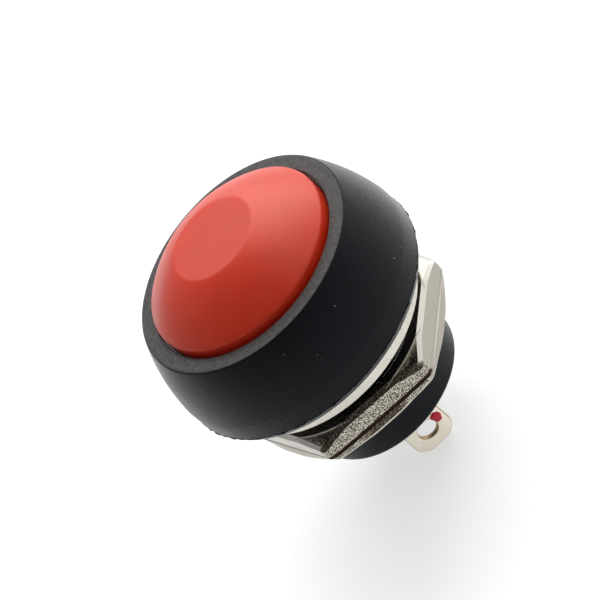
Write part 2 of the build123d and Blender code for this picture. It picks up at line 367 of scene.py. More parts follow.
def place(made, body, slot, *nodes):
    """Fix a finished piece to its body, in place of the solids it stands for."""
    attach(made, body)
    if nodes:
        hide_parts(*nodes)


# ---------------------------------------------------------------- node helpers


def wire(tree, target, inputs):
    """Give a node's inputs values, or links from other nodes."""
    for key, value in inputs.items():
        if isinstance(value, bpy.types.NodeSocket):
            tree.links.new(value, target.inputs[key])
        else:
            target.inputs[key].default_value = value


def node(tree, kind, inputs=None, **settings):
    """Add a node, set its properties and give its inputs values or links."""
    made = tree.nodes.new(kind)
    for key, value in settings.items():
        setattr(made, key, value)
    wire(tree, made, inputs or {})
    return made


def maths(tree, operation, first, second=0.0, third=0.0):
    """The result of a Math node on values or sockets."""
    made = node(tree, "ShaderNodeMath", {0: first, 1: second, 2: third}, operation=operation)
    return made.outputs[0]


def times(tree, first, *others):
    """The product of values or sockets."""
    for other in others:
        first = maths(tree, "MULTIPLY", first, other)
    return first


def apart(tree, value, middle):
    """How far a value is from a middle one."""
    return maths(tree, "ABSOLUTE", maths(tree, "SUBTRACT", value, middle))


def spread(tree, value, low, high, to_low=0.0, to_high=1.0):
    """A value mapped from one range to another, held at its ends."""
    numbers = {
        "Value": value,
        "From Min": low,
        "From Max": high,
        "To Min": to_low,
        "To Max": to_high,
    }
    return node(tree, "ShaderNodeMapRange", numbers).outputs["Result"]


def band(tree, value, rise, full, fade, end):
    """A mask that rises to 1, stays there and fades again as a value grows."""
    return times(tree, spread(tree, value, rise, full), spread(tree, value, end, fade))


def blend_colour(tree, factor, first, second):
    """Two colours or colour sockets mixed by a factor."""
    first, second = (
        value if isinstance(value, bpy.types.NodeSocket) else (*value[:3], 1)
        for value in (first, second)
    )
    made = node(tree, "ShaderNodeMix", {0: factor, 6: first, 7: second}, data_type="RGBA")
    return made.outputs[2]


def coordinates(tree, kind):
    """The Object, Normal or Generated coordinates."""
    return node(tree, "ShaderNodeTexCoord").outputs[kind]


def toward(tree, vector, direction):
    """How far a vector reaches in a direction."""
    made = node(tree, "ShaderNodeVectorMath", {0: vector, 1: direction}, operation="DOT_PRODUCT")
    return made.outputs["Value"]


def object_noise(tree, size, detail=2.0, roughness=0.5):
    """Noise on Object coordinates, with its grain size in millimetres as a value or a socket."""
    numbers = {
        "Vector": coordinates(tree, "Object"),
        "Scale": maths(tree, "DIVIDE", 1 / MM, size),
        "Detail": detail,
        "Roughness": roughness,
    }
    return node(tree, "ShaderNodeTexNoise", numbers).outputs["Fac"]


def built_once(kind, name, inputs, outputs):
    """Mark a function that fills a node group, so that the group is built when first used."""
    out_socket = "NodeSocketGeometry" if kind == "GeometryNodeTree" else "NodeSocketFloat"

    def mark(fill):
        def group():
            if name in bpy.data.node_groups:
                return bpy.data.node_groups[name]
            tree = bpy.data.node_groups.new(name, kind)
            for label, default in inputs.items():
                socket = "NodeSocketMaterial" if default is None else "NodeSocketFloat"
                made = tree.interface.new_socket(label, in_out="INPUT", socket_type=socket)
                if default is not None:
                    made.default_value = default
            for label in outputs:
                tree.interface.new_socket(label, in_out="OUTPUT", socket_type=out_socket)
            value = tree.nodes.new("NodeGroupInput").outputs
            wire(tree, tree.nodes.new("NodeGroupOutput"), fill(tree, value))
            return tree

        return group

    return mark


@built_once(
    "ShaderNodeTree",
    "moulded grain",
    {"Grain Size": 0.12, "Tone Size": 2.5},
    ("Height", "Tone"),
)
def moulded_grain(tree, value):
    """Fine spark grain of a moulded surface, and its slow change of tone."""
    fine = object_noise(tree, value["Grain Size"], 3.0, 0.6)
    coarse = object_noise(tree, times(tree, value["Grain Size"], 3.1), 1.0)
    slow = object_noise(tree, value["Tone Size"], 3.0, 0.6)
    return {
        "Height": maths(tree, "MULTIPLY_ADD", coarse, 0.4, fine),
        "Tone": spread(tree, slow, 0.3, 0.7),
    }


@built_once(
    "ShaderNodeTree",
    "loose dust",
    {"Spacing": 0.4, "Share": 0.12, "Dot Size": 0.1},
    ("Mask",),
)
def loose_dust(tree, value):
    """Sparse specks, each a small soft dot."""
    scale = maths(tree, "DIVIDE", 1 / MM, value["Spacing"])
    spots = {"Vector": coordinates(tree, "Object"), "Scale": scale}
    cells = node(tree, "ShaderNodeTexVoronoi", spots)
    pick = node(tree, "ShaderNodeSeparateColor", {0: cells.outputs["Color"]})
    chosen = maths(tree, "LESS_THAN", pick.outputs[0], value["Share"])
    size = times(tree, value["Dot Size"], pick.outputs[1])
    dot = spread(tree, cells.outputs["Distance"], size, times(tree, size, 0.5))
    return {"Mask": times(tree, dot, chosen)}


@built_once(
    "ShaderNodeTree",
    "plating",
    {"Pit Size": 0.16, "Pit Share": 0.5, "Haze Size": 1.2},
    ("Pits", "Haze", "Height"),
)
def plating(tree, value):
    """Pits and haze of a plated or drawn metal."""
    rough = object_noise(tree, value["Pit Size"], 4.0, 0.65)
    haze = object_noise(tree, value["Haze Size"], 3.0, 0.6)
    edge = maths(tree, "SUBTRACT", 0.72, times(tree, value["Pit Share"], 0.3))
    return {
        "Pits": spread(tree, rough, edge, maths(tree, "ADD", edge, 0.09)),
        "Haze": spread(tree, haze, 0.35, 0.7),
        "Height": rough,
    }


# ---------------------------------------------------------------- finishes

LINT = (0.42, 0.42, 0.43)

# Moulded, poured and painted finishes. Body names a colour of FinishColours, and so does the key
# for the painted sheen, a lighter colour painted on flat tops. Grain and depth are in
# millimetres. Dust is its share, dot size and colour. Own holds the shader's own sockets.
SKINS = {
    "black moulding": {
        "body": "moulding",
        "painted_sheen": "painted_sheen",
        "rough": 0.38,
        "grain": 0.09,
        "depth": 0.024,
        "dust": (0.06, 0.13, LINT),
        "own": {
            "Specular IOR Level": 0.12,
            "Specular Tint": (0.85, 0.92, 1.0, 1),
            "Sheen Weight": 1.0,
            "Sheen Roughness": 0.3,
        },
    },
    "base moulding": {"body": "base", "rough": 0.5, "grain": 0.12, "depth": 0.01},
    "red cap": {
        "body": "cap",
        "rough": 0.36,
        "grain": 0.1,
        "depth": 0.008,
        "dust": (0.03, 0.12, (0.7, 0.3, 0.24)),
        "tone": 0.03,
        "own": {
            "Specular IOR Level": 0.56,
            "Specular Tint": (1.0, 0.94, 0.78, 1),
            "Subsurface Weight": 0.8,
            "Subsurface Radius": (1.0, 0.12, 0.06),
            "Subsurface Scale": 2.4 * MM,
        },
    },
    "black rubber": {
        "body": "rubber",
        "rough": 0.62,
        "grain": 0.15,
        "depth": 0.014,
        "dust": (0.06, 0.14, LINT),
    },
    "sealing compound": {
        "body": "resin",
        "rough": 0.2,
        "grain": 0.6,
        "depth": 0.01,
        "dust": (0.02, 0.12, LINT),
    },
    "plunger nylon": {"body": "nylon", "rough": 0.42, "grain": 0.2, "depth": 0.004},
    "red lacquer": {
        "body": "lacquer",
        "rough": 0.22,
        "grain": 0.25,
        "depth": 0.012,
        "tone": 0.1,
        "own": {"Specular IOR Level": 0.3, "Coat Weight": 0.15, "Coat Roughness": 0.08},
    },
}

# Plated and drawn metals: colour, roughness, pit size, share of pits, stain and depth of pits,
# with the sizes in millimetres.
METALS = {
    "washer nickel": ("washer", 0.16, 0.2, 0.36, (0.36, 0.32, 0.26), 0.006),
    "tinned brass": ("tin", 0.26, 0.24, 0.3, (0.50, 0.40, 0.27), 0.01),
    "punched brass": ("punched", 0.5, 0.12, 0.5, (0.24, 0.17, 0.08), 0.008),
    "bridge brass": ("brass", 0.22, 0.3, 0.3, (0.42, 0.28, 0.13), 0.006),
    "contact silver": ("silver", 0.12, 0.3, 0.2, (0.45, 0.42, 0.38), 0.003),
    "spring wire": ("steel", 0.2, 0.2, 0.3, (0.22, 0.2, 0.18), 0.004),
}


def finish(name):
    """The material of one finish, built the first time it is asked for."""
    if name in bpy.data.materials:
        return bpy.data.materials[name]
    material, tree, shader = surface(name)
    if name == "nut nickel":
        nut_plating(tree, shader)
    elif name in METALS:
        metal(tree, shader, *METALS[name])
    else:
        skin(tree, shader, **SKINS[name])
    return material


def surface(name):
    """A new material, its tree and its Principled node."""
    material = bpy.data.materials.new(name)
    material.use_nodes = True
    tree = material.node_tree
    return material, tree, tree.nodes["Principled BSDF"]


def tint(name):
    """One of the colours a user may change."""
    return getattr(bpy.context.scene.switch_finishes, name)


def bump(tree, height, depth):
    """The normal of a Bump node of a depth in millimetres."""
    numbers = {"Height": height, "Distance": depth * MM}
    return node(tree, "ShaderNodeBump", numbers).outputs["Normal"]


def skin(tree, shader, body, rough, grain, depth, tone=0.12, dust=None, painted_sheen=None, own=None):
    """A moulded finish: colour with a slow tone, fine grain, dust, and a painted sheen in patches
    on flat tops.
    """
    grained = node(tree, "ShaderNodeGroup", {"Grain Size": grain}, node_tree=moulded_grain())
    slow = grained.outputs["Tone"]
    lighter = [min(1.0, part * (1 + 2 * tone)) for part in tint(body)]
    darker = [part * (1 - tone) for part in tint(body)]
    shown = blend_colour(tree, slow, darker, lighter)
    # Painted sheen: faces turned up get a lighter colour, in random patches
    if painted_sheen:
        flat = spread(tree, toward(tree, coordinates(tree, "Normal"), (0, 0, 1)), 0.9, 0.99)
        patches = spread(tree, object_noise(tree, 0.3, 4.0, 0.7), 0.35, 0.6, 0.55, 1.0)
        shown = blend_colour(tree, times(tree, flat, patches), shown, tint(painted_sheen))
    if dust:
        share, size, pale = dust
        numbers = {"Share": share, "Dot Size": size}
        specks = node(tree, "ShaderNodeGroup", numbers, node_tree=loose_dust())
        shown = blend_colour(tree, specks.outputs["Mask"], shown, pale)
    sockets = {
        "Base Color": shown,
        "Roughness": spread(tree, slow, 0, 1, rough - 0.04, rough + 0.05),
        "Normal": bump(tree, grained.outputs["Height"], depth),
    }
    wire(tree, shader, sockets | (own or {}))


def metal(tree, shader, body, rough, pit_size, pit_share, stain, depth):
    """A plated or drawn metal: haze in its gloss, pits that are darker and rougher."""
    numbers = {"Pit Size": pit_size, "Pit Share": pit_share}
    plated = node(tree, "ShaderNodeGroup", numbers, node_tree=plating())
    hazed = [part * 0.93 for part in tint(body)]
    shown = blend_colour(tree, plated.outputs["Haze"], tint(body), hazed)
    plate(tree, shader, plated, shown, plated.outputs["Pits"], stain, rough, depth)


def plate(tree, shader, plated, shown, pits, stain, rough, depth, metallic=1.0):
    """Wire a metal shader from the plating group, with its pits stained, rougher and sunk."""
    gloss = spread(tree, plated.outputs["Haze"], 0, 1, rough, rough + 0.1)
    height = maths(tree, "MULTIPLY_ADD", pits, -1.0, plated.outputs["Height"])
    sockets = {
        "Base Color": blend_colour(tree, pits, shown, stain),
        "Roughness": maths(tree, "MULTIPLY_ADD", pits, 0.3, gloss),
        "Metallic": metallic,
        "Normal": bump(tree, height, depth),
    }
    wire(tree, shader, sockets)


def nut_plating(tree, shader):
    """The nut's plating: one side painted lighter as if lit, with pits, painted dark reflection
    and painted shade in tarnish brown, and a painted highlight line round the flat top.
    """
    sizes = bpy.context.scene.switch_hardware
    turn = sizes.nut_turn + math.radians(270)
    inner = sizes.nut_flats / 2 - sizes.shoulder_width
    numbers = {"Pit Size": 0.085, "Pit Share": 0.88}
    plated = node(tree, "ShaderNodeGroup", numbers, node_tree=plating())
    where = coordinates(tree, "Object")
    parts = node(tree, "ShaderNodeSeparateXYZ", {0: where}).outputs
    height = parts["Z"]
    outward = toward(tree, where, (math.cos(turn), math.sin(turn), 0))
    upward = toward(tree, coordinates(tree, "Normal"), (0, 0, 1))

    # Clean plating, a painted highlight on the leaning strip, and one side painted lighter as if
    # lit
    side = spread(tree, outward, inner - 0.12 * MM, inner)
    # Painted highlight: the leaning strip at the top takes the washer's paler colour
    shoulder_glint = band(tree, upward, 0.6, 0.68, 0.74, 0.8)
    shown = blend_colour(tree, shoulder_glint, tint("nickel"), tint("washer"))
    shown = blend_colour(tree, side, shown, tint("painted_lit"))

    # Painted dark reflection in tarnish-brown blotches on what leans upward on that side, and on
    # the chamfers next to it
    blotches = spread(tree, object_noise(tree, 0.13, 3.0, 0.6), 0.42, 0.5)
    patchy = maths(tree, "MAXIMUM", blotches, 0.55)
    leaning = times(tree, spread(tree, upward, 0.1, 0.3), 0.9, patchy, side)
    shown = blend_colour(tree, leaning, shown, tint("tarnish_and_shade"))
    near = spread(tree, outward, inner - 1.42 * MM, inner - 0.72 * MM)
    bare = spread(tree, object_noise(tree, 0.07, 2.0, 0.6), 0.56, 0.6, 1.0, 0.1)
    chamfer = times(tree, near, blotches, bare, band(tree, upward, 0.78, 0.84, 0.88, 0.93))
    shown = blend_colour(tree, chamfer, shown, tint("tarnish_and_shade"))

    # Painted shade in the line above the foot, on that side
    off_seam = apart(tree, height, NUT_END + sizes.foot_height)
    for half, groove_shade in ((0.13, "tarnish_and_shade"), (0.035, "pits_and_groove_shade")):
        seam = spread(tree, off_seam, (half + 0.02) * MM, (half - 0.02) * MM)
        shown = blend_colour(tree, times(tree, seam, side), shown, tint(groove_shade))

    # A painted highlight line where the corner chamfers start: the lighter colour, and less
    # metallic
    flat = node(tree, "ShaderNodeCombineXYZ", {0: parts["X"], 1: parts["Y"]}).outputs[0]
    radius = node(tree, "ShaderNodeVectorMath", {0: flat}, operation="LENGTH").outputs["Value"]
    line = spread(tree, apart(tree, radius, sizes.nut_face), 0.04 * MM, 0.02 * MM)
    at_top = spread(tree, height, NUT_TOP - 0.18 * MM, NUT_TOP - 0.14 * MM)
    line = times(tree, line, at_top)
    shown = blend_colour(tree, line, shown, tint("painted_lit"))
    metallic = maths(tree, "MULTIPLY_ADD", line, -0.8, 1.0)

    above_rim = spread(tree, height, NUT_END + 0.17 * MM, NUT_END + 0.21 * MM)
    pits = times(tree, plated.outputs["Pits"], side, above_rim)
    plate(tree, shader, plated, shown, pits, tint("pits_and_groove_shade"), 0.15, 0.004, metallic)


# ---------------------------------------------------------------- geometry node trees


def helix(tree, value, steps, rise, lift):
    """A curve of the group's radius and turns that rises, lifted by a height."""
    numbers = {
        "Resolution": steps,
        "Rotations": value["Turns"],
        "Start Radius": value["Radius"],
        "End Radius": value["Radius"],
        "Height": rise,
        "Reverse": True,
    }
    spiral = node(tree, "GeometryNodeCurveSpiral", numbers).outputs["Curve"]
    offset = node(tree, "ShaderNodeCombineXYZ", {"Z": lift}).outputs[0]
    moved = node(tree, "GeometryNodeSetPosition", {"Geometry": spiral, "Offset": offset})
    return moved.outputs["Geometry"]


def sweep(tree, value, curve, profile, size=1.0):
    """Real geometry of a profile carried along a curve, with the group's material."""
    numbers = {"Curve": curve, "Profile Curve": profile, "Scale": size, "Fill Caps": True}
    solid = node(tree, "GeometryNodeCurveToMesh", numbers).outputs["Mesh"]
    real = node(tree, "GeometryNodeRealizeInstances", {"Geometry": solid}).outputs["Geometry"]
    painted = {"Geometry": real, "Material": value["Finish"]}
    return {"Geometry": node(tree, "GeometryNodeSetMaterial", painted).outputs["Geometry"]}


@built_once(
    "GeometryNodeTree",
    "thread ridge",
    {
        "Radius": 0.0057,
        "Pitch": 0.001,
        "Turns": 5.0,
        "Start Height": 0.0,
        "Inner Width": 0.0008,
        "Outer Width": 0.0001,
        "Depth": 0.0005,
        "Run Out": 0.06,
        "Finish": None,
    },
    ("Geometry",),
)
def ridge_tree(tree, value):
    """A thread ridge that climbs a stem or lines a bore, and runs out at both ends."""
    rise = times(tree, value["Pitch"], value["Turns"])
    curve = helix(tree, value, 72, rise, value["Start Height"])
    upright = node(tree, "GeometryNodeSetCurveNormal", {"Curve": curve}, mode="Z_UP")
    numbers = {
        "Height": value["Depth"],
        "Bottom Width": value["Inner Width"],
        "Top Width": value["Outer Width"],
        "Offset": 0.0,
    }
    section = node(tree, "GeometryNodeCurvePrimitiveQuadrilateral", numbers, mode="TRAPEZOID")
    quarter = {"Geometry": section.outputs["Curve"], "Rotation": (0, 0, math.radians(90))}
    profile = node(tree, "GeometryNodeTransform", quarter).outputs["Geometry"]
    along = node(tree, "GeometryNodeSplineParameter").outputs["Factor"]
    ends = (along, maths(tree, "SUBTRACT", 1.0, along))
    lead_in, lead_out = (spread(tree, end, 0.0, value["Run Out"], 0.15) for end in ends)
    size = maths(tree, "MINIMUM", lead_in, lead_out)
    return sweep(tree, value, upright.outputs["Curve"], profile, size)


@built_once(
    "GeometryNodeTree",
    "compression spring",
    {
        "Radius": 0.004,
        "Wire Radius": 0.0002,
        "Turns": 5.0,
        "Bottom": 0.0,
        "Top": 0.005,
        "End Closing": 0.72,
        "Finish": None,
    },
    ("Geometry",),
)
def coil_tree(tree, value):
    """A compression spring whose end turns lie close together."""
    low = maths(tree, "ADD", value["Bottom"], value["Wire Radius"])
    high = maths(tree, "SUBTRACT", value["Top"], value["Wire Radius"])
    along = node(tree, "GeometryNodeSplineParameter").outputs["Factor"]
    wave = maths(tree, "SINE", times(tree, along, math.tau))
    closing = maths(tree, "DIVIDE", value["End Closing"], math.tau)
    eased = maths(tree, "SUBTRACT", along, times(tree, wave, closing))
    height = maths(tree, "MULTIPLY_ADD", eased, maths(tree, "SUBTRACT", high, low), low)
    wire_round = {"Resolution": 12, "Radius": value["Wire Radius"]}
    profile = node(tree, "GeometryNodeCurvePrimitiveCircle", wire_round).outputs["Curve"]
    return sweep(tree, value, helix(tree, value, 48, 0.0, height), profile)


def grown(name, tree, values, sharp=40):
    """A plain mesh object made by a geometry tree with the given named values."""
    made = add_object(name, bpy.data.meshes.new(name))
    modifier = made.modifiers.new(tree.name, "NODES")
    modifier.node_group = tree
    for item in tree.interface.items_tree:
        if item.in_out == "INPUT":
            modifier[item.identifier] = values[item.name]
    apply_modifiers(made)
    clean_up(made.data)
    smooth(made.data, sharp)
    return made


def thread_ridge(name, radius, start, end, depth, widths, run_out, material):
    """One screw thread of the shared pitch, between two heights."""
    pitch = bpy.context.scene.switch_thread.pitch
    values = {
        "Radius": radius,
        "Pitch": pitch,
        "Turns": (end - start) / pitch,
        "Start Height": start,
        "Inner Width": widths[0],
        "Outer Width": widths[1],
        "Depth": depth,
        "Run Out": run_out,
        "Finish": finish(material),
    }
    return grown(name, ridge_tree(), values, 25)


# ---------------------------------------------------------------- operators


class SWITCH_OT_head(bpy.types.Operator):
    """Turn the head, stem and rear barrel in one moulding, with its ragged parting line"""

    bl_idname = "switch.head"
    bl_label = "Head and stem"

    def execute(self, context):
        sizes = context.scene.switch_head
        rim = sizes.rim_radius
        bezel = (sizes.bezel_radius, HOUSING_TOP)
        parting = 2.1 * MM
        waist = (sizes.flank_radius, (HOUSING_TOP + parting) / 2)
        flank = arc(bezel, waist, (RIM_RADIUS, parting), 26, 0.35 * MM)
        flank = [(radius, height, 0) for radius, height, _ in flank if radius < rim]
        underside_r = 8.7 * MM
        chamber_r, chamber_end, chamber_top = 4.6 * MM, -4.0 * MM, 1.2 * MM
        guide_r, guide_top = 2.35 * MM, 2.5 * MM
        pocket_r = 3.25 * MM

        def outline_at(turn):
            """The outline in one direction, with its own stretch of the parting line."""
            where = Vector((math.cos(turn), math.sin(turn), 0))
            wave = noise.noise(where * 21) + 0.6 * noise.noise(where * 60)
            chip = noise.noise(where * 9 + Vector((5, 0, 0)))
            stand = sizes.flash * max(0.0, 0.45 + wave) * (1.0 if chip > -0.2 else 0.35)
            tip = min(rim + stand, RIM_RADIUS - 0.004 * MM)
            drop = 0.03 * MM * noise.noise(where * 33 + Vector((0, 7, 0)))
            corners = [
                (WELL_R, WELL_FLOOR, 0),
                (WELL_R, HOUSING_TOP, 0.11 * MM),
                (*bezel, 0.2 * MM),
                *flank,
                (rim, parting + 0.07 * MM, 0.02 * MM),
                (tip, parting + 0.02 * MM + drop, 0.015 * MM),
                (rim - 0.04 * MM, parting - 0.05 * MM, 0),
                (underside_r, UNDERSIDE_Z, 0.1 * MM),
                (sizes.stem_root, UNDERSIDE_Z, 0.1 * MM),
                (sizes.stem_root, THREAD_END, 0),
                (sizes.barrel_radius, THREAD_END - 0.1 * MM, 0.04 * MM),
                (sizes.barrel_radius, HOUSING_END, 0.22 * MM),
                (SOCKET_R, HOUSING_END, 0.08 * MM),
                (SOCKET_R, chamber_end, 0),
                (chamber_r, chamber_end, 0),
                (chamber_r, chamber_top, 0),
                (guide_r, chamber_top, 0),
                (guide_r, guide_top, 0),
                (pocket_r, guide_top, 0),
                (pocket_r, WELL_FLOOR, 0),
            ]
            return rounded(corners)

        shape = turned(outline_at, even_angles(sizes.steps))
        piece("head_moulding", shape, "black moulding", "housing", "black_moulding", "housing")
        thread = context.scene.switch_thread
        ridge = thread_ridge(
            "stem_thread",
            thread.crest_radius - thread.depth / 2,
            THREAD_START,
            UNDERSIDE_Z - 0.15 * MM,
            thread.depth,
            (thread.root_width, thread.crest_width),
            0.04,
            "black moulding",
        )
        place(ridge, "housing", "black_moulding")
        return {"FINISHED"}


class SWITCH_OT_button(bpy.types.Operator):
    """Turn the red cap: straight wall, soft crease, dome and flat round top"""

    bl_idname = "switch.button"
    bl_label = "Button"

    def execute(self, context):
        sizes = context.scene.switch_button
        crease = (CAP_RADIUS, sizes.crease_height)
        facet = (sizes.facet_radius, CAP_TOP)
        dome = arc(crease, (sizes.dome_radius, sizes.dome_height), facet, 40, 0.22 * MM)
        skirt_r, shelf = 5.45 * MM, 8.7 * MM
        boss_r, boss_end = 2.6 * MM, 6.2 * MM
        socket_r, socket_top = 1.6 * MM, 8.91 * MM
        corners = [
            (0, CAP_TOP, 0),
            (1.0 * MM, CAP_TOP, 0),
            (2.0 * MM, CAP_TOP, 0),
            (*facet, sizes.facet_round),
            *reversed(dome),
            (*crease, sizes.crease_round),
            (CAP_RADIUS, CAP_END, 0.08 * MM),
            (skirt_r, CAP_END, 0.08 * MM),
            (skirt_r, shelf - 0.6 * MM, 0),
            (skirt_r - 0.6 * MM, shelf, 0),
            (boss_r + 0.9 * MM, shelf, 0),
            (boss_r + 0.7 * MM, shelf + 0.4 * MM, 0),
            (boss_r, shelf + 0.4 * MM, 0),
            (boss_r, boss_end, 0),
            (socket_r, boss_end, 0),
            (socket_r, socket_top, 0),
            (0, socket_top, 0),
        ]
        revolved("red_button", corners, 6, 240, "red cap", "button", "red_cap", "button_cap")
        return {"FINISHED"}


class SWITCH_OT_washer(bpy.types.Operator):
    """Turn the flat washer and the rubber ring that seals the head to the panel"""

    bl_idname = "switch.washer"
    bl_label = "Washer and seal"

    def execute(self, context):
        sizes = context.scene.switch_hardware
        edge = sizes.washer_edge
        corners = [
            (LOOSE_BORE_R, 0, edge),
            (sizes.washer_radius, 0, edge),
            (sizes.washer_radius, SEAL_END, edge),
            (LOOSE_BORE_R, SEAL_END, edge),
        ]
        home = ("washer", "nickel", "flat_washer")
        revolved("washer_ring", corners, 4, 216, "washer nickel", *home)
        lip, side_r, crown_r = 0.1 * MM, 7.26 * MM, 7.36 * MM
        corners = [
            (LOOSE_BORE_R, SEAL_END, lip),
            (side_r, SEAL_END, lip),
            (crown_r, (SEAL_TOP + SEAL_END) / 2, 0.5 * MM),
            (side_r, SEAL_TOP, lip),
            (LOOSE_BORE_R, SEAL_TOP, lip),
        ]
        home = ("housing", "black_rubber", "panel_seal")
        revolved("seal_ring", corners, 4, 144, "black rubber", *home)
        return {"FINISHED"}


class SWITCH_OT_nut(bpy.types.Operator):
    """Shape the hexagon nut with its chamfered corners and pressed foot, and thread its bore"""

    bl_idname = "switch.nut"
    bl_label = "Nut"

    def execute(self, context):
        sizes = context.scene.switch_hardware
        sixth = math.radians(60)
        half = sizes.nut_flats / 2
        centre = (half - sizes.nut_corner) / math.cos(sixth / 2)
        corner = math.atan2(
            sizes.nut_corner * math.sin(sixth / 2),
            centre + sizes.nut_corner * math.cos(sixth / 2),
        )
        face, edge, groove_width = sizes.nut_face, sizes.nut_edge, sizes.groove_width
        most = centre + sizes.nut_corner - face

        def side_at(turn):
            """Distance from the axis to the side of the hexagon in one direction."""
            away = (turn - sizes.nut_turn + sixth / 2) % sixth - sixth / 2
            if abs(away) > corner:
                return half / math.cos(sixth / 2 - abs(away))
            across = centre * math.sin(away)
            return centre * math.cos(away) + math.sqrt(sizes.nut_corner**2 - across**2)

        def outline_at(turn):
            """The outline in one direction, from the bore's foot round the outside."""
            side = side_at(turn)
            inner = side - sizes.shoulder_width
            corner_share = max(0.0, side - face) / most
            beyond = max(0.0, inner - face)
            step = min(sizes.nut_step, beyond)
            rim = NUT_TOP - step - beyond * sizes.nut_slope
            groove = NUT_END + sizes.foot_height + 0.12 * MM * corner_share**2
            foot = side + sizes.foot_flare - 0.37 * MM * corner_share
            cut = NUT_END + (0.09 + 0.2 * corner_share) * MM
            corners = [
                (NUT_BORE_R, NUT_END + 0.15 * MM, 0.02 * MM),
                (NUT_BORE_R + 0.15 * MM, NUT_END, 0.02 * MM),
                (foot - 0.14 * MM, NUT_END, edge),
                (foot, cut, 0.03 * MM),
                (foot, cut + 0.12 * MM, 0.01 * MM),
                (side, groove - groove_width, 0.02 * MM),
                (side - sizes.groove_depth, groove - 0.4 * groove_width, 0.02 * MM),
                (side - 0.6 * sizes.groove_depth, groove, 0.01 * MM),
                (side - sizes.groove_depth, groove + 0.4 * groove_width, 0.02 * MM),
                (side, groove + groove_width, 0.02 * MM),
                (side, rim - sizes.shoulder_height, edge),
                (inner, rim, edge),
                (min(face, inner - 0.02 * MM), NUT_TOP - step - 0.002 * MM, 0.01 * MM),
                (min(face, inner) - 0.03 * MM, NUT_TOP, 0.02 * MM),
                (NUT_BORE_R + 0.15 * MM, NUT_TOP, 0.02 * MM),
                (NUT_BORE_R, NUT_TOP - 0.15 * MM, 0.02 * MM),
            ]
            return rounded(corners, 3)

        offsets = [degree for degree in range(-30, 30, 2) if abs(degree) > 2]
        offsets += [math.degrees(corner) * step / 4 for step in range(-4, 5)] + [-2.4, 2.4]
        angles = [
            sizes.nut_turn + math.radians(60 * side + offset)
            for side in range(6)
            for offset in sorted(offsets)
        ]
        shape = turned(outline_at, angles)
        piece("nut_body", shape, "nut nickel", "nut", "nickel", "hex_nut")

        # The nut's ridge lies half a turn from the stem's, a little shallower
        thread = context.scene.switch_thread
        start = NUT_END + 0.25 * MM
        start += (THREAD_START + thread.pitch / 2 - start) % thread.pitch
        depth = thread.depth - 0.05 * MM
        ridge = thread_ridge(
            "nut_thread",
            NUT_BORE_R + 0.03 * MM - depth / 2,
            start,
            NUT_TOP - 0.2 * MM,
            depth,
            (thread.crest_width, thread.root_width),
            0.15,
            "nut nickel",
        )
        place(ridge, "nut", "nickel")
        return {"FINISHED"}


